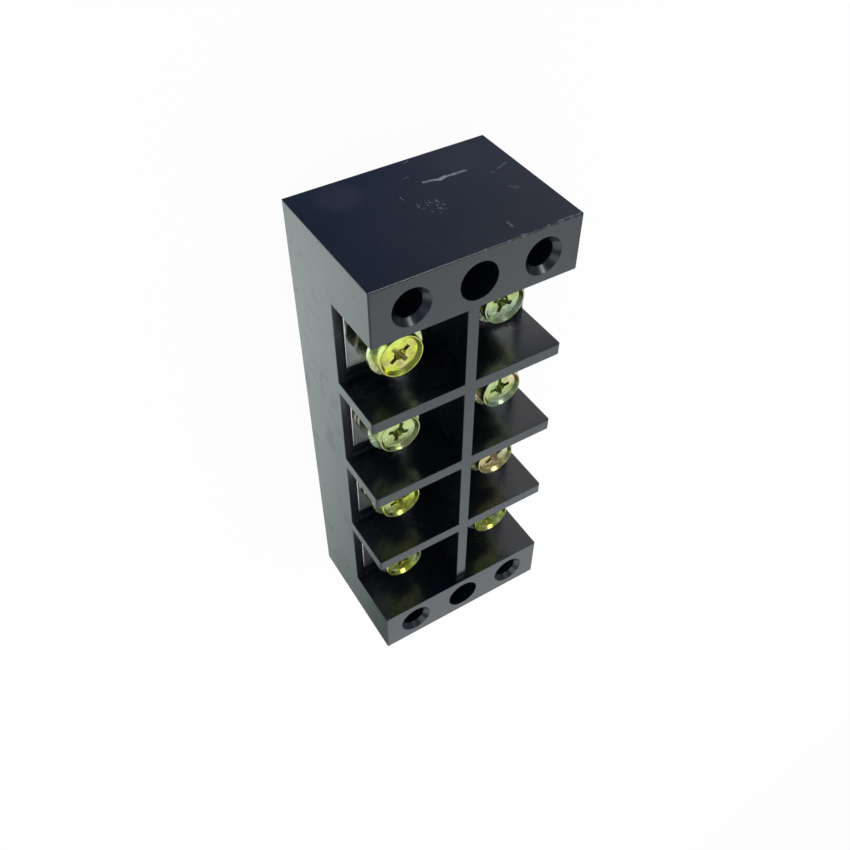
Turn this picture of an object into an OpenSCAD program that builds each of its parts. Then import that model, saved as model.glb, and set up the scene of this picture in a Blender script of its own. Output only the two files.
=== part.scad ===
// Barrier terminal strip: four ways, two rows of screws, one black moulding.
// Frame: X runs along the strip, Y across it, +Z points out through the screw heads.
// The origin is the middle of the flat underside. Sizes are in millimetres.

/* [Moulding] */
// Clear width of one way, between two barriers
way_w = 11.9; // [9.5:0.1:14]
// Thickness of a barrier
barrier_t = 1.6; // [1.2:0.1:2.4]
// Length of each solid end block
end_len = 7.3; // [6.5:0.1:12]
// Width of the moulding
body_w = 26.5; // [26:0.1:32]
// Height of the end blocks
body_h = 19.4; // [18.8:0.1:24]
// Height of the barriers and the centre ridge
barrier_h = 18.65; // [17:0.05:18.8]
// Height of the wire floor in each way
floor_z = 10.6; // [9.5:0.1:11.5]
// Thickness of the centre ridge
ridge_t = 1.5; // [1:0.1:2.5]
// Radius of the outer edges
edge_r = 0.2; // [0.1:0.05:0.8]
// Radius of the free corners of the barriers
tip_r = 0.35; // [0.2:0.05:1.5]

/* [Fixing holes] */
// Distance from the end of the moulding to the row of three holes
hole_inset = 3.8; // [3.2:0.1:4.4]
// Distance between the two mounting holes of one end
hole_gap = 16.6; // [14:0.1:18]
// Diameter of a mounting hole
hole_d = 3.4; // [3:0.1:3.8]
// Diameter at the mouth of a mounting hole, and of the cover hole
mouth_d = 4.84; // [4.2:0.02:5.2]

/* [Terminal plates] */
// Length of a plate, from one side of the strip to the other
plate_len = 24; // [23:0.1:24.5]
// Width of a plate
plate_w = 8.5; // [7.5:0.1:9.5]
// Thickness of a plate
plate_t = 1.2; // [1:0.1:1.6]
// Width of the shallow step round a plate
step_w = 10.9; // [10:0.1:11.4]
// Depth of that step below the wire floor
step_d = 0.3; // [0.1:0.05:0.5]
// Distance from the middle of the strip to the left row of screws
row_left = 7.8; // [7.3:0.1:8]
// Distance from the middle of the strip to the right row of screws
row_right = 7.3; // [7.3:0.1:8]

/* [Screws and washers] */
// Diameter of a screw head
head_d = 5.7; // [5.4:0.1:6.2]
// Height of a screw head, up to its raised rim
head_h = 1.4; // [1.2:0.05:1.8]
// Width of the raised rim
rim_w = 0.2; // [0.15:0.05:0.4]
// Radius of the rounding outside the rim
rim_r = 0.1; // [0.05:0.01:0.14]
// Depth of the sunk face inside the rim
sink = 0.45; // [0.3:0.05:0.6]
// Length of a screw below its head
shank_len = 8; // [7:0.5:8.5]
// Core diameter of the M3 thread; the ridge of the thread stands 0.3 mm outside it
core_d = 2.4; // [2.3:0.05:2.45]
// Outer diameter of a washer
washer_d = 7; // [6.5:0.1:7.5]
// Bore of a washer
washer_bore = 3.2; // [3.1:0.1:3.6]
// Thickness of a washer
washer_t = 0.5; // [0.4:0.05:0.6]

/* [Cross recess] */
// Span of the cross, from tip to tip
cross_span = 2.9; // [2.4:0.1:3.2]
// Width of an arm of the cross
arm_w = 0.55; // [0.45:0.05:0.7]
// Depth of the recess below the sunk face
cross_depth = 1.3; // [1:0.05:1.4]

/* [Hidden] */
$fn = 64;
eps = 0.01;

ways = 4;
pitch = way_w + barrier_t;
inner_len = ways * way_w + (ways - 1) * barrier_t;
body_len = inner_len + 2 * end_len;
row_names = ["left", "right"];
row_sides = [1, -1];
row_y = [row_left, -row_right];

// How far the washer under each head stands above the plate, as the strip was left:
// the way's number runs from the +X end, the left row first.
head_lift = [[4.2, 3.35, 3.1, 3.4], [2.6, 3.4, 3.3, 3.4]];
// How far the loose washer stands above the plate.
loose_lift = [[1.1, 0.15, 0.4, 0.6], [0.3, 0.5, 0.2, 0.7]];
// Which way the cross of each screw has stopped, in degrees.
cross_turn = [[36, 70, 15, 52], [64, 5, 28, 80]];

// The bore of a plate is the core of its own M3 thread, with a running clearance.
tapped_d = core_d + 0.1;
tail_d = 4;
tail_z = 2.6;
// How far the wall inside the rim of a head leans in.
wall_run = 0.35;
pocket_gap = 0.05;
window_gap = 0.4;
plate_z = floor_z - plate_t;

function way_x(i) = ((ways - 1) / 2 - i) * pitch;
function tag(i, r) = str("_", i + 1, "_", row_names[r]);

// A rectangle with round corners, made of true arcs.
module rounded_rect(w, h, r) {
    square([w - 2 * r, h], center = true);
    square([w, h - 2 * r], center = true);
    for (x = [-1, 1], y = [-1, 1])
        translate([x * (w / 2 - r), y * (h / 2 - r)]) circle(r);
}

// The outer block, with every outside edge rounded.
module envelope() {
    intersection() {
        linear_extrude(body_h) rounded_rect(body_len, body_w, edge_r);
        translate([0, body_w / 2, body_h / 2]) rotate([90, 0, 0])
            linear_extrude(body_w) rounded_rect(body_len, body_h, edge_r);
        translate([-body_len / 2, 0, body_h / 2]) rotate([90, 0, 90])
            linear_extrude(body_len) rounded_rect(body_w, body_h, edge_r);
    }
}

// The open space of one way in one row: open above and at the side.
module way_space() {
    depth = body_w / 2 - ridge_t / 2 + 1;
    translate([-way_w / 2, ridge_t / 2, floor_z]) cube([way_w, depth, body_h]);
}

// What the rounding takes off a free corner of the barriers, in section.
module tip_waste() {
    difference() {
        translate([-tip_r, -tip_r]) square(tip_r + 1);
        translate([-tip_r, -tip_r]) circle(tip_r);
    }
}

// Where one plate lies: a shallow step, a close pocket and a window under the ridge.
module plate_seat() {
    for (s = row_sides)
        translate([-step_w / 2, s > 0 ? ridge_t / 2 : -plate_len / 2 - 0.3, floor_z - step_d])
            cube([step_w, plate_len / 2 + 0.3 - ridge_t / 2, step_d + eps]);
    translate([-plate_w / 2 - pocket_gap, -plate_len / 2 - pocket_gap, plate_z])
        cube([plate_w + 2 * pocket_gap, plate_len + 2 * pocket_gap, plate_t + window_gap]);
}

// A blind hole for the tail of a screw.
module tail_hole() {
    translate([0, 0, tail_z]) cylinder(d = tail_d, h = plate_z - tail_z + eps);
}

// A through hole with a 45 degree mouth.
module mounting_hole() {
    mouth_depth = (mouth_d - hole_d) / 2;
    translate([0, 0, -1]) cylinder(d = hole_d, h = body_h + 2);
    translate([0, 0, body_h - mouth_depth])
        cylinder(d1 = hole_d, d2 = mouth_d + 2 * eps, h = mouth_depth + eps);
}

module moulding() {
    color([0.06, 0.07, 0.09])
    difference() {
        envelope();
        translate([-inner_len / 2, -body_w / 2 - 1, barrier_h])
            cube([inner_len, body_w + 2, body_h]);
        for (s = row_sides)
            mirror([0, s > 0 ? 0 : 1, 0]) translate([-inner_len / 2, body_w / 2, barrier_h])
                rotate([90, 0, 90]) linear_extrude(inner_len) tip_waste();
        for (i = [0:ways - 1]) translate([way_x(i), 0, 0]) {
            way_space();
            rotate(180) way_space();
            plate_seat();
            for (y = row_y) translate([0, y, 0]) tail_hole();
        }
        for (e = [-1, 1]) translate([e * (body_len / 2 - hole_inset), 0, 0]) {
            for (s = row_sides) translate([0, s * hole_gap / 2, 0]) mounting_hole();
            translate([0, 0, -1]) cylinder(d = mouth_d, h = body_h + 2);
        }
    }
}

// A flat strip that joins the two screws of one way.
module terminal_plate(i) {
    color([0.78, 0.78, 0.76])
    translate([way_x(i), 0, plate_z])
    difference() {
        translate([-plate_w / 2, -plate_len / 2, 0]) cube([plate_w, plate_len, plate_t]);
        for (y = row_y) translate([0, y, -1]) cylinder(d = tapped_d, h = plate_t + 2);
    }
}

// Half of an indented head in section: a straight side, a sharp rim and a sunk flat face.
module head_section() {
    head_r = head_d / 2;
    face_r = head_r - rim_w - wall_run;
    steps = 4;
    corner = [for (k = [0:steps]) let (a = 90 * k / steps)
        [head_r - rim_r + rim_r * cos(a), head_h - rim_r + rim_r * sin(a)]];
    polygon(concat([[0, 0], [head_r, 0]], corner,
        [[head_r - rim_w, head_h], [face_r, head_h - sink], [0, head_h - sink]]));
}

// The tool for a cross recess: two tapered arms and a cone, with its top at z = 0.
module cross_tool() {
    foot_span = cross_span * 0.42;
    top = 0.2;
    for (a = [0, 90])
        rotate(a) translate([0, arm_w / 2, 0]) rotate([90, 0, 0]) linear_extrude(arm_w)
            polygon([[-foot_span / 2, -cross_depth], [foot_span / 2, -cross_depth],
                [cross_span / 2, 0], [cross_span / 2, top], [-cross_span / 2, top], [-cross_span / 2, 0]]);
    translate([0, 0, -cross_depth]) cylinder(r1 = arm_w * 0.6, r2 = arm_w * 1.5, h = cross_depth + top);
}

// A screw with the underside of its head at z = 0.
module cross_screw(turn) {
    tip = 0.4;
    difference() {
        rotate_extrude() head_section();
        rotate(turn) translate([0, 0, head_h - sink]) cross_tool();
    }
    translate([0, 0, tip - shank_len]) cylinder(d = core_d, h = shank_len - tip + eps);
    translate([0, 0, -shank_len]) cylinder(d1 = core_d - 2 * tip, d2 = core_d, h = tip);
}

module washer() {
    difference() {
        cylinder(d = washer_d, h = washer_t);
        translate([0, 0, -1]) cylinder(d = washer_bore, h = washer_t + 2);
    }
}

module screw(i, r) {
    color([0.78, 0.80, 0.30])
    translate([way_x(i), row_y[r], floor_z + head_lift[r][i]]) cross_screw(cross_turn[r][i]);
}

module head_washer(i, r) {
    color([0.80, 0.82, 0.50])
    translate([way_x(i), row_y[r], floor_z + head_lift[r][i] - washer_t]) washer();
}

module loose_washer(i, r) {
    color([0.74, 0.76, 0.52])
    translate([way_x(i), row_y[r], floor_z + loose_lift[r][i]]) washer();
}

moulding();
for (i = [0:ways - 1])
    terminal_plate(i);
for (r = [0, 1], i = [0:ways - 1]) {
    screw(i, r);
    head_washer(i, r);
    loose_washer(i, r);
}
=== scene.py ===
# %% [markdown]
# # A barrier terminal strip
# Four wire ways stand side by side in one black moulding. In each way a flat plated strip joins two
# M3 screws, and each screw carries two washers that clamp the wires. The solids come from the CAD
# frame with their real sizes, so this lesson is about finishes, the screw threads and the light.
#
# The frame is loaded first. Its box is kept, because the finished model has to stay inside it.

# %% Load the frame
import math

import bmesh
import bpy
from mathutils import Matrix, Vector


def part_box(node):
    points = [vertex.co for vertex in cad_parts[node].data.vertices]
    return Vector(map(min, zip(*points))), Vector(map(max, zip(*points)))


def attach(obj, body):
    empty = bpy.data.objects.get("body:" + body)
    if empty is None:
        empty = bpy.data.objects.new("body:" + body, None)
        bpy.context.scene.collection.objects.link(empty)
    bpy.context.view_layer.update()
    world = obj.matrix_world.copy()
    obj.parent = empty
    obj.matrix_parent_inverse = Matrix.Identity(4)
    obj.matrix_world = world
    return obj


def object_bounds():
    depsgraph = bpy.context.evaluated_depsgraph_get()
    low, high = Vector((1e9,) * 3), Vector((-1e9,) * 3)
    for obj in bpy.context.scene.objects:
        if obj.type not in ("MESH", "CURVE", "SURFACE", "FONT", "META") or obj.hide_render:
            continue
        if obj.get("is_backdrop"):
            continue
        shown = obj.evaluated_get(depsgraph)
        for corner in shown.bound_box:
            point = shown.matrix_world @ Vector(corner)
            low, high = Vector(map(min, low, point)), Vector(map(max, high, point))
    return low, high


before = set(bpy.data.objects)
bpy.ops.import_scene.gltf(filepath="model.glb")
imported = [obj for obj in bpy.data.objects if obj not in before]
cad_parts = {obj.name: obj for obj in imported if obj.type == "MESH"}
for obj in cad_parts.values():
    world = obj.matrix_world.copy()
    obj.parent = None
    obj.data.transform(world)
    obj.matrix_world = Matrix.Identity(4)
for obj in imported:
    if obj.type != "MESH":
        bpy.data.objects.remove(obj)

MM = 0.001
cad_low, cad_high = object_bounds()
size = cad_high - cad_low
middle = (cad_low + cad_high) / 2
print("strip measures", [round(x / MM, 2) for x in size], "mm")

# %% [markdown]
# The colours below are written as they should look, so the picture leaves them alone: the Standard
# view shows a colour of 0.5 as 0.5, where a film-like view would bend it.

# %% View settings
scene = bpy.context.scene
scene.view_settings.view_transform = "Standard"
print("view", scene.view_settings.view_transform)

# %% [markdown]
# ## Camera
# The strip is seen from above one end, from 12 cm away, with its long axis upright in the picture.
# `look` is the direction from the strip to the lens. A camera looks along its own -Z with its own
# +Y up, so its three axes are built here from that direction and the strip's long axis.

# %% Camera
look = Vector((0.7274, 0.3589, 0.5849)).normalized()
distance = 121.7 * MM
aim = middle + Vector((-0.57, 0.80, 0.0)) * MM
long_axis = Vector((1, 0, 0))

side = long_axis.cross(look).normalized()
upright = look.cross(side)
camera = bpy.data.objects.new("camera", bpy.data.cameras.new("camera"))
camera.data.sensor_width = 36
camera.data.lens = 38.19
camera.data.clip_start = 1 * MM
turned = Matrix((side, upright, look)).transposed().to_4x4()
camera.matrix_world = Matrix.Translation(aim + look * distance) @ turned
scene.collection.objects.link(camera)
scene.camera = camera
print("camera at", [round(x / MM, 1) for x in camera.location], "mm")

# %% [markdown]
# ## Writing shader maths
# A material is a network of nodes. Wiring them one by one hides the idea, so a `Wire` wraps one
# output socket: plus, minus, times and divide on it add the Math node that does it, and `node`
# adds any other node, with its settings first and then its sockets.

# %% The Wire class
class Wire:
    """One output of a node. Arithmetic on it adds Math nodes to the same material."""

    def __init__(self, tree, socket=None):
        self.tree = tree
        self.socket = socket

    def node(self, kind, settings=None, sockets=None, output=0):
        made = self.tree.nodes.new("ShaderNode" + kind)
        for name, value in (settings or {}).items():
            if name == "stops":
                made.color_ramp.interpolation = "B_SPLINE"
                ramp = made.color_ramp.elements
                while len(ramp) < len(value):
                    ramp.new(0.5)
                for stop, (place, colour) in zip(ramp, value):
                    stop.position = place
                    stop.color = (*colour, 1)
            else:
                setattr(made, name, value)
        for name, value in (sockets or {}).items():
            if isinstance(value, Wire):
                self.tree.links.new(value.socket, made.inputs[name])
            else:
                made.inputs[name].default_value = value
        return Wire(self.tree, made.outputs[output] if made.outputs else None)

    def math(self, operation, *values, clamp=False):
        settings = {"operation": operation, "use_clamp": clamp}
        return self.node("Math", settings, dict(enumerate(values)))

    def __add__(self, other):
        return self.math("ADD", self, other)

    def __radd__(self, other):
        return self.math("ADD", other, self)

    def __sub__(self, other):
        return self.math("SUBTRACT", self, other)

    def __rsub__(self, other):
        return self.math("SUBTRACT", other, self)

    def __mul__(self, other):
        return self.math("MULTIPLY", self, other)

    def __rmul__(self, other):
        return self.math("MULTIPLY", other, self)

    def __truediv__(self, other):
        return self.math("DIVIDE", self, other)

    def __rtruediv__(self, other):
        return self.math("DIVIDE", other, self)

    def smooth(self, low, high):
        """0 below low, 1 above high, and a soft step between."""
        return self.node("MapRange", {"interpolation_type": "SMOOTHSTEP"},
                         {"Value": self, "From Min": low, "From Max": high})

    def at_least(self, value):
        return self.math("MAXIMUM", self, value)

    def at_most(self, value):
        return self.math("MINIMUM", self, value)

    def parts(self):
        """The three coordinates of a vector, as three wires."""
        split = self.node("SeparateXYZ", None, {"Vector": self})
        return [Wire(self.tree, socket) for socket in split.socket.node.outputs]

    def mix(self, first, second):
        """first where this wire is 0, second where it is 1; both are colours."""
        pair = {"A": first, "B": second}
        made = self.tree.nodes.new("ShaderNodeMix")
        made.data_type = "RGBA"
        self.tree.links.new(self.socket, made.inputs["Factor"])
        for name, value in pair.items():
            target = next(s for s in made.inputs if s.name == name and s.type == "RGBA")
            if isinstance(value, Wire):
                self.tree.links.new(value.socket, target)
            else:
                target.default_value = (*value, 1)
        return Wire(self.tree, next(s for s in made.outputs if s.type == "RGBA"))


print("Wire ready")

# %% [markdown]
# Every material starts as an empty network and ends in one output. The patterns in between are
# placed by the Object coordinates, which are the strip's own metres, so `millimetres` turns them
# into the unit that the real marks and grains are thought of in.

# %% Starting and finishing a material
def new_material(name):
    """An empty material, and a Wire to start its network from."""
    material = bpy.data.materials.new(name)
    material.use_nodes = True
    material.node_tree.nodes.clear()
    return material, Wire(material.node_tree)


def finish_material(start, shader):
    start.node("OutputMaterial", None, {"Surface": shader})


def millimetres(start, scale=(1, 1, 1)):
    """The point on the strip, in millimetres of the frame, stretched by scale."""
    place = start.node("TexCoord", None, None, "Object")
    return start.node("Mapping", None, {"Vector": place, "Scale": [s / MM for s in scale]})


def noise(start, place, scale, detail=2.0, roughness=0.5, distortion=0.0):
    sockets = {"Vector": place, "Scale": scale, "Detail": detail,
               "Roughness": roughness, "Distortion": distortion}
    return start.node("TexNoise", None, sockets, 0)


print("material helpers ready")

# %% [markdown]
# ## Floor
# The floor is plain and white. It takes the strip's shadow as any matt surface does, and to the
# lens it is also lifted towards white, which keeps the background clean without more light on the
# strip. Polished things show what is round them, so reflections see the lift too.

# %% Floor
def lens_or_mirror(start):
    """1 for what the camera sees directly, in a reflection or through glass."""
    seen = start.node("LightPath", None, None, "Is Camera Ray")
    glossy = start.node("LightPath", None, None, "Is Glossy Ray")
    through = start.node("LightPath", None, None, "Is Transmission Ray")
    return (seen + glossy + through).at_most(1.0)


def floor_material():
    material, start = new_material("floor_white")
    matt = start.node("BsdfDiffuse", None, {"Color": (0.88, 0.88, 0.88, 1)})
    white = start.node("Emission", None, {"Color": (1, 1, 1, 1), "Strength": 1.0})
    lift = lens_or_mirror(start) * 0.95
    finish_material(start, start.node("MixShader", None, {0: lift, 1: matt, 2: white}))
    return material


def flat_piece(name, corners, material):
    """One four-sided face, given by its corners in metres."""
    mesh = bpy.data.meshes.new(name)
    mesh.from_pydata([tuple(c) for c in corners], [], [(0, 1, 2, 3)])
    mesh.materials.append(material)
    piece = bpy.data.objects.new(name, mesh)
    scene.collection.objects.link(piece)
    return piece


def level_corners(x0, x1, y0, y1, z):
    """The corners of a level rectangle, all in millimetres."""
    return [Vector(c) * MM for c in ((x0, y0, z), (x1, y0, z), (x1, y1, z), (x0, y1, z))]


floor = flat_piece("floor", level_corners(-6000, 6000, -6000, 6000, 0), floor_material())
floor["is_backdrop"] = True
print("floor", floor.dimensions.x, "m wide")

# %% [markdown]
# ## Light
# Three soft lamps and a pale room light the strip. Black plastic hardly scatters light, so what is
# seen on it is what it mirrors. The room is therefore dark in mirrors and white to the lens, and
# each face gets a lamp or a card of its own to mirror.

# %% World
def world_light(strength):
    world = bpy.data.worlds.new("studio")
    world.use_nodes = True
    world.node_tree.nodes.clear()
    start = Wire(world.node_tree)
    glossy = start.node("LightPath", None, None, "Is Glossy Ray")
    seen = start.node("LightPath", None, None, "Is Camera Ray")
    room = start.node("Background", None, {"Color": (0.93, 0.96, 1.0, 1), "Strength": strength})
    dim = start.node("Background", None, {"Color": (0.21, 0.24, 0.30, 1), "Strength": 1.0})
    white = start.node("Background", None, {"Color": (1, 1, 1, 1), "Strength": 1.0})
    lit = start.node("MixShader", None, {0: glossy, 1: room, 2: dim})
    shown = start.node("MixShader", None, {0: seen, 1: lit, 2: white})
    start.node("OutputWorld", None, {"Surface": shown})
    scene.world = world


world_light(0.8)
print("world", scene.world.name)

# %% [markdown]
# Wide lamps make soft shadows and broad highlights. The key lamp hangs behind the far end, where
# the faces that look up mirror it. The top lamp fills the wire ways, and the left lamp is what the
# upright corner edges mirror.

# %% Lamps
def stand(thing, toward, far):
    """Puts a lamp or a card far from the strip in one direction, facing it."""
    direction = Vector(toward).normalized()
    thing.location = middle + direction * far * MM
    thing.rotation_mode = "QUATERNION"
    thing.rotation_quaternion = direction.to_track_quat("Z", "Y")


def soft_lamp(name, toward, far, width, watts, colour=(1, 1, 1)):
    lamp = bpy.data.lights.new(name, "AREA")
    lamp.size = width * MM
    lamp.energy = watts
    lamp.color = colour
    holder = bpy.data.objects.new(name, lamp)
    stand(holder, toward, far)
    scene.collection.objects.link(holder)


soft_lamp("key_lamp", (-0.727, -0.359, 0.585), 500, 420, 0.58, (0.95, 1.0, 0.99))
soft_lamp("top_lamp", (0.1, 0.5, 1.0), 600, 300, 0.35)
soft_lamp("left_lamp", (-0.727, 0.42, 0.48), 500, 360, 0.34)

# %% [markdown]
# A glossy object needs something to mirror, so cards stand just out of view. The long side
# mirrors a pale card on the floor that fades along the strip, and the near end a dark one.
# A small bright card makes the glint in the conical mouths and on the rims of the screws.

# %% Cards
def fade(start, first, second, start_point, end_point):
    """A colour that runs from first at one point to second at another; points in millimetres."""
    run = Vector(end_point) - Vector(start_point)
    x, y, _ = millimetres(start).parts()
    along_x = (x - start_point[0]) * (run.x / run.length_squared)
    along_y = (y - start_point[1]) * (run.y / run.length_squared)
    return (along_x + along_y).at_least(0.0).at_most(1.0).mix(first, second)


def reflection_card(name, corners, colour=None, fading=None):
    """A card that only reflections see, in one plain colour or with a fade."""
    material, start = new_material(name)
    glow = fade(start, *fading) if fading else (*colour, 1)
    finish_material(start, start.node("Emission", None, {"Color": glow, "Strength": 1.0}))
    card = flat_piece(name, corners, material)
    card.visible_camera = False
    card.visible_diffuse = False
    card.visible_shadow = False
    card.visible_transmission = False
    card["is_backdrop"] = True
    return card


end, flank = cad_high.x / MM, cad_high.y / MM
card_height = 0.02
reflection_card("dark_card", level_corners(end, end + 90, -60, 60, card_height),
                fading=((0.11, 0.17, 0.32), (0.36, 0.38, 0.50), (0, 8), (0, -32)))
reflection_card("pale_card", level_corners(-110, end, flank, flank + 80, card_height),
                fading=((0.24, 0.30, 0.28), (1.34, 1.52, 1.48), (-62, 0), (22, 0)))
glint = reflection_card("glint_card", level_corners(-50, 50, -50, 50, 0), colour=(9, 9.4, 9.4))
stand(glint, (0.585, -0.359, 0.727), 350)

# %% [markdown]
# ## Black moulding
# The body is moulded in black thermoplastic and has been handled. A mark is a mask: a wire that is
# 1 on the mark and 0 beside it. Painting an image could do this too, but a mask has no resolution
# and its place and width stay in millimetres.

# %% Marks on a surface
def spot(axes, centre, radius):
    """1 round a point and 0 away from it; the point and the radius are in millimetres."""
    squares = [(axis - c) * (axis - c) for axis, c in zip(axes, centre)]
    total = squares[0] + squares[1] + squares[2]
    apart = total.math("SQRT", total)
    return 1 - apart.smooth(radius * 0.5, radius)


def scratch(across, up, first, last, width):
    """1 on a line across a face and 0 beside it; first and last are (across, up) in millimetres."""
    run = Vector(last) - Vector(first)
    unit = run.normalized()
    along = (across - first[0]) * unit.x + (up - first[1]) * unit.y
    apart = (across - first[0]) * unit.y - (up - first[1]) * unit.x
    half = run.length / 2
    past = (along.math("ABSOLUTE", along - half) - half).at_least(0.0)
    square = past * past + apart * apart
    return 1 - square.math("SQRT", square).smooth(width * 0.25, width * 0.6)


def any_of(marks):
    total = marks[0]
    for mark in marks[1:]:
        total = total.at_least(mark)
    return total


# Long scratch on the near end, in three pieces, and the fainter ones beside it: (across, up).
SCRATCHES = [
    ((-1.76, 5.30), (-3.45, 5.80), 0.48, 0.8),
    ((-3.45, 5.80), (-4.40, 5.60), 0.62, 1.0),
    ((-4.40, 5.60), (-7.00, 5.72), 0.42, 0.75),
    ((-10.4, 7.25), (-12.0, 6.70), 0.26, 0.28),
    ((-9.40, 11.0), (-10.1, 11.6), 0.40, 0.16),
    ((2.06, 6.60), (2.06, 7.30), 0.22, 0.30),
    ((1.25, 8.80), (1.30, 9.40), 0.22, 0.35),
    ((-0.80, 3.50), (-0.10, 3.55), 0.20, 0.25),
    ((-2.50, 0.50), (-1.90, 0.75), 0.25, 0.35),
    ((-5.20, 16.6), (-5.20, 17.5), 0.40, 0.25),
    ((-9.30, 7.40), (-9.60, 7.80), 0.26, 0.25),
    ((-9.90, 19.25), (-13.0, 19.2), 0.22, 0.35),
]
# Small nicks on the edge between the near end and the top: (centre, radius).
NICKS = [((33.4, -3.45, 19.4), 0.34), ((33.5, -5.3, 19.4), 0.46), ((33.5, -0.5, 19.4), 0.30),
         ((33.5, -8.6, 19.4), 0.36), ((33.5, -10.2, 19.4), 0.40), ((33.5, -11.6, 19.4), 0.36)]
SCUFF = ((end, -0.4, 9.9), 1.9)
print("marks", len(SCRATCHES) + len(NICKS))

# %% [markdown]
# The colour is nearly black, so most of what is seen is the sheen: the roughness varies a little,
# as on any moulded face, and worn places are paler and rougher. Noise breaks up each mask, because
# a real scratch is never even. A Bevel node rounds the sharp edges in the light alone.

# %% Moulding material
BUMP_REACH = 0.05 * MM


def moulding_material():
    material, start = new_material("black_moulding")
    place = millimetres(start)
    x, y, z = place.parts()
    cloud = noise(start, place, 0.09, 3, 0.55)
    fine = noise(start, place, 1.6, 4, 0.6)
    grain = noise(start, place, 14.0, 2, 0.5)
    smudge = noise(start, place, 0.22, 4, 0.62, 1.2).smooth(0.50, 0.74)
    wobble = (noise(start, place, 0.9, 3, 0.6) - 0.5) * 0.5
    ragged = noise(start, place, 4.5, 3, 0.7).smooth(0.36, 0.60)
    on_end = x.smooth(end - 0.3, end - 0.1)
    lines = any_of([scratch(y + wobble, z + wobble, first, last, width) * strength
                    for first, last, width, strength in SCRATCHES]) * on_end
    rubbed = noise(start, place, 2.6, 3, 0.6).smooth(0.54, 0.70)
    patch = spot((x, y, z), *SCUFF) * rubbed * 0.5
    left_haze = spot((x, y + wobble, z), (end, 7.8, 3.0), 3.4) * 0.65
    right_haze = spot((x, y, z), (end, -7.5, 2.5), 4.5) * 0.35
    haze = left_haze.at_least(right_haze)
    chips = noise(start, place, 6.5, 3, 0.7).smooth(0.46, 0.60)
    nick_point = (x, y + wobble, z + wobble * 0.5)
    nicks = any_of([spot(nick_point, centre, radius) for centre, radius in NICKS]) * chips * 0.34
    specks = start.node("TexVoronoi", {"feature": "F1"},
                        {"Vector": place, "Scale": 0.55, "Randomness": 1.0}, "Distance")
    dusty = noise(start, place, 0.35, 2, 0.5).smooth(0.46, 0.62)
    dust = (1 - (specks + fine * 0.22).smooth(0.11, 0.19)) * dusty * 0.15
    worn = (lines * (0.35 + ragged * 0.65)).at_least(patch).at_least(nicks).at_least(dust)
    shade = cloud.smooth(0.3, 0.7) * 0.6 + smudge * 0.4
    black = shade.mix((0.0016, 0.0034, 0.0070), (0.0080, 0.0090, 0.0140))
    hazy = haze.mix(black, (0.026, 0.022, 0.030))
    colour = worn.mix(hazy, (0.34, 0.35, 0.38))
    roughness = 0.17 + cloud * 0.10 + smudge * 0.10 + fine * 0.04 + worn * 0.35
    height = cloud * 2.0 + fine * 0.35 + grain * 0.08 - worn * 0.8
    edge = start.node("Bevel", {"samples": 6}, {"Radius": 0.12 * MM})
    bump = start.node("Bump", None, {"Strength": 0.05, "Distance": BUMP_REACH,
                                     "Height": height, "Normal": edge})
    shader = start.node("BsdfPrincipled", None, {
        "Base Color": colour, "Roughness": roughness, "IOR": 1.6, "Normal": bump})
    finish_material(start, shader)
    return material


black_moulding = moulding_material()
print("made", black_moulding.name)

# %% [markdown]
# ## Zinc
# The screws and washers are zinc plated and passivated, which leaves a thin film: pale green in
# one place, yellow in the next, faintly pink where it is thickest. The film could be computed from
# its thickness, but a ramp of its colours, placed by noise, is easier to steer.

# %% Zinc material
GREEN_FILM = (0.38, 0.52, 0.24)
PINK_FILM = (0.78, 0.58, 0.40)
DULL_FILM = (0.26, 0.28, 0.13)


def zinc_material(name, pale, yellow, deep, seed):
    """A bright metal under a thin film whose hue drifts from pale to yellow to deep."""
    material, start = new_material(name)
    place = millimetres(start)
    shift = (seed * 3.1, seed * 1.7, seed * 2.3)
    moved = start.node("Mapping", None, {"Vector": place, "Location": shift})
    drift = noise(start, moved, 0.33, 2, 0.45, 0.5)
    waves = noise(start, moved, 0.85, 2, 0.5)
    fine = noise(start, moved, 3.2, 3, 0.6)
    dull = noise(start, moved, 0.9, 3, 0.6).smooth(0.45, 0.75)
    stops = [(0.24, GREEN_FILM), (0.38, pale), (0.47, yellow), (0.58, deep), (0.74, PINK_FILM)]
    film = start.node("ValToRGB", {"stops": stops}, {0: drift})
    colour = (dull * 0.6).mix(film, DULL_FILM)
    roughness = 0.18 + fine * 0.12 + dull * 0.12
    edge = start.node("Bevel", {"samples": 4}, {"Radius": 0.06 * MM})
    height = waves * 4.0 + fine * 0.5
    bump = start.node("Bump", None, {"Strength": 0.3, "Distance": BUMP_REACH,
                                     "Height": height, "Normal": edge})
    shader = start.node("BsdfPrincipled", None, {
        "Base Color": colour, "Metallic": 1.0, "Roughness": roughness, "Normal": bump})
    finish_material(start, shader)
    return material


# The film came out differently on each screw: four are lemon, three are greyer, one is straw.
TONES = {
    "lemon": ((0.58, 0.64, 0.36), (0.68, 0.76, 0.09), (0.46, 0.46, 0.05)),
    "sage": ((0.46, 0.54, 0.42), (0.52, 0.62, 0.24), (0.34, 0.42, 0.14)),
    "straw": ((0.74, 0.66, 0.46), (0.74, 0.64, 0.28), (0.58, 0.46, 0.16)),
}
HEAD_WASHER_TONE = ((0.66, 0.74, 0.56), (0.60, 0.68, 0.32), (0.46, 0.50, 0.22))
LOOSE_WASHER_TONE = ((0.58, 0.62, 0.50), (0.52, 0.56, 0.34), (0.44, 0.46, 0.30))
SCREWS = {tone: zinc_material("zinc_screw_" + tone, *colours, 1) for tone, colours in TONES.items()}
head_washer_zinc = zinc_material("zinc_washer", *HEAD_WASHER_TONE, 7)
loose_washer_zinc = zinc_material("zinc_loose_washer", *LOOSE_WASHER_TONE, 4)
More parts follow.
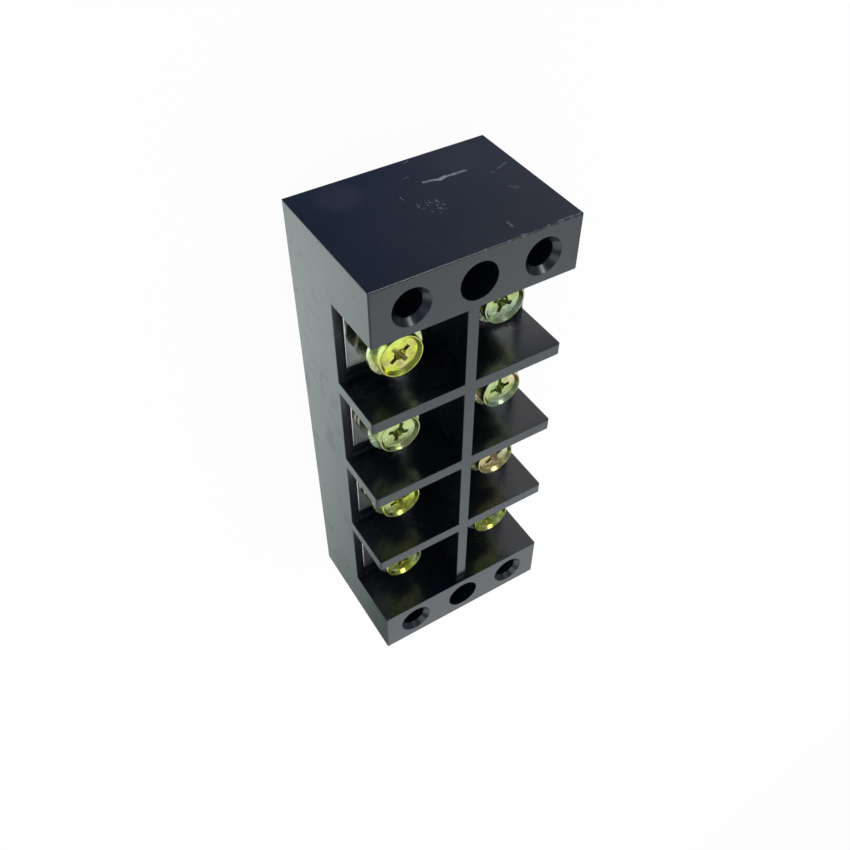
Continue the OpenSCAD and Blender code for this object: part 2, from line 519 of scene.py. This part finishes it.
print("screw tones", list(SCREWS))

# %% [markdown]
# ## Plated plates
# The strips under the screws are tin plated and brushed, so their noise is stretched into fine
# lines. A punched piece has no sharp edge where the punch went in. Cutting the edges with modifiers
# left dark bands across the drilled face, so a Bevel node rounds them in the light instead.

# %% Plate material
def plate_material():
    material, start = new_material("plated_plate")
    place = millimetres(start)
    brushed = noise(start, millimetres(start, (3.0, 0.2, 1.0)), 1.6, 3, 0.6)
    fine = noise(start, place, 2.0, 3, 0.6)
    colour = fine.smooth(0.3, 0.8).mix((0.74, 0.74, 0.72), (0.56, 0.56, 0.54))
    roughness = 0.10 + brushed * 0.14
    edge = start.node("Bevel", {"samples": 8}, {"Radius": 0.30 * MM})
    bump = start.node("Bump", None, {"Strength": 0.06, "Distance": BUMP_REACH,
                                     "Height": brushed, "Normal": edge})
    shader = start.node("BsdfPrincipled", None, {
        "Base Color": colour, "Metallic": 1.0, "Roughness": roughness, "Normal": bump})
    finish_material(start, shader)
    return material


plated_plate = plate_material()
print("made", plated_plate.name)

# %% [markdown]
# ## Putting the finishes on
# Each node's name starts with its kind, and the kind picks the finish. Four screws have a tone of
# their own.

# %% Finishes
TONE_OF = {"screw_1_right": "sage", "screw_2_right": "sage", "screw_2_left": "sage",
           "screw_3_right": "straw"}
FINISHES = {
    "moulding": ("black_moulding", black_moulding),
    "terminal_plate": ("plated_plate", plated_plate),
    "screw": ("zinc_screw", SCREWS["lemon"]),
    "head_washer": ("zinc_washer", head_washer_zinc),
    "loose_washer": ("zinc_washer", loose_washer_zinc),
}


def kind_of(node):
    return next(kind for kind in FINISHES if node.startswith(kind))


for name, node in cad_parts.items():
    slot, material = FINISHES[kind_of(name)]
    if name in TONE_OF:
        material = SCREWS[TONE_OF[name]]
    node.data.materials.clear()
    node.data.materials.append(material)
print("finished", len(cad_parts), "nodes")

# %% [markdown]
# ## Threads
# The CAD screws have a plain core. The thread is one ridge that climbs round it: a small triangle
# with a flat crest, swept along a helix. It rises 0.5 mm in a turn, as on every M3 screw. A Screw
# modifier could sweep it too, but here the ridge has to fade out at both ends.

# %% Thread ridges
THREAD = {"pitch": 0.5 * MM, "root": 1.19 * MM, "crest": 1.5 * MM, "steps": 36}
# Half widths of the ridge at its foot and its crest, as parts of the pitch.
FOOT, FLAT = 0.42, 0.08
HEAD_HEIGHT = 1.4 * MM
POINT_LENGTH = 0.4 * MM
PLAIN_NECK = 0.5 * MM


def thread_ridge(name, axis, low, high, material):
    """A right-handed ridge round a vertical axis, from height low to height high."""
    turns = (high - low) / THREAD["pitch"]
    count = int(turns * THREAD["steps"])
    mesh = bmesh.new()
    rings = []
    for k in range(count + 1):
        angle = 2 * math.pi * k / THREAD["steps"]
        z = low + THREAD["pitch"] * k / THREAD["steps"]
        fade = min(1.0, 2 * k / THREAD["steps"], 2 * (count - k) / THREAD["steps"])
        crest = THREAD["root"] + (THREAD["crest"] - THREAD["root"]) * fade
        ring = []
        for radius, lift in ((THREAD["root"], -FOOT), (crest, -FLAT), (crest, FLAT), (THREAD["root"], FOOT)):
            across = axis.x + radius * math.cos(angle)
            along = axis.y + radius * math.sin(angle)
            ring.append(mesh.verts.new((across, along, z + lift * THREAD["pitch"])))
        rings.append(ring)
    for lower, upper in zip(rings, rings[1:]):
        for a in range(4):
            b = (a + 1) % 4
            mesh.faces.new((lower[a], lower[b], upper[b], upper[a]))
    mesh.faces.new(rings[0])
    mesh.faces.new(reversed(rings[-1]))
    bmesh.ops.recalc_face_normals(mesh, faces=mesh.faces)
    data = bpy.data.meshes.new(name)
    mesh.to_mesh(data)
    mesh.free()
    data.materials.append(material)
    piece = bpy.data.objects.new(name, data)
    scene.collection.objects.link(piece)
    return piece


for name in sorted(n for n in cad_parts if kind_of(n) == "screw"):
    low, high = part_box(name)
    axis = (low + high) / 2
    thread_top = high.z - HEAD_HEIGHT - PLAIN_NECK
    ridge = thread_ridge(name.replace("screw", "thread"), axis, low.z + POINT_LENGTH, thread_top,
                         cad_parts[name].data.materials[0])
    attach(ridge, name)

# %% [markdown]
# ## Sizes and the end
# The box of the finished model is measured again and printed like the first one; the thread
# ridges are meant to leave the strip no larger.

# %% Sizes and the end
low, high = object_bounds()
print("finished model measures", [round(x / MM, 2) for x in high - low], "mm")
